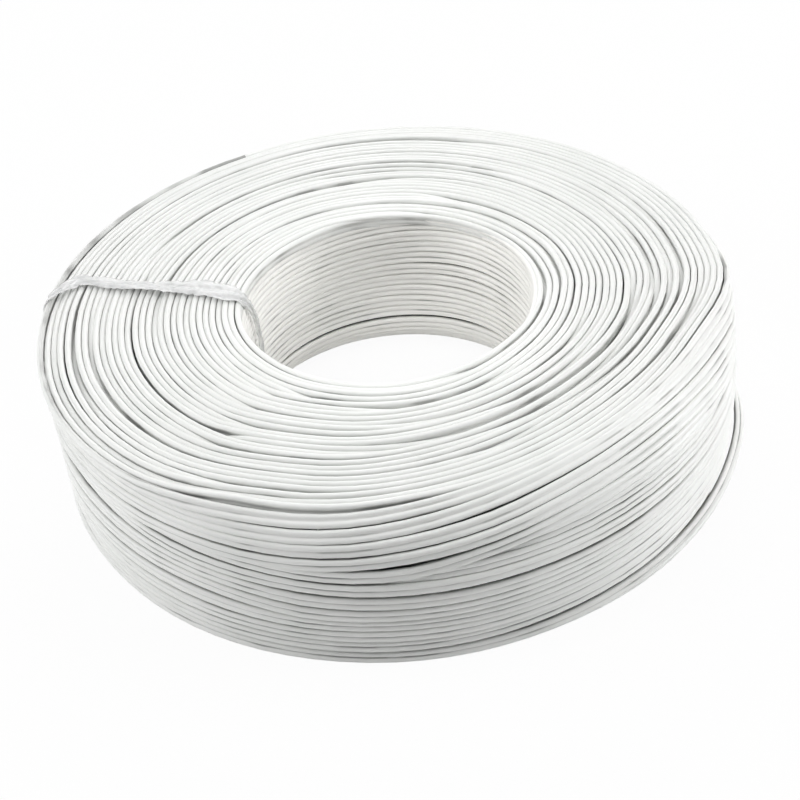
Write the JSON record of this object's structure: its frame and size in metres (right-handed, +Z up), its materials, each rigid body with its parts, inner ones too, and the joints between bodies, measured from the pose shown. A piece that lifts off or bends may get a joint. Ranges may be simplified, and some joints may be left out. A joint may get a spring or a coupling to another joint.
{
  "type": "coil of flat twin cord",
  "caption": "Free-standing ring-shaped coil of white flat two-core cord, wound in many level layers round an open centre hole and held by one strip of film.",
  "frame": {"origin": "on the axis of the centre hole, at the surface that the coil lies on", "axes": "+Z up along the axis of the coil, -X towards the film tie"},
  "size_m": [0.2222, 0.2197, 0.0571],
  "materials": {
    "insulation": "satin white pvc",
    "copper": "bright stranded copper",
    "film": "crumpled translucent film"
  },
  "bodies": {
    "root": {"packed_turns": "insulation", "outer_turns": "insulation", "end_insulation": "insulation", "conductor_upper": "copper", "conductor_lower": "copper", "film_tie": "film"}
  },
  "joints": []
}
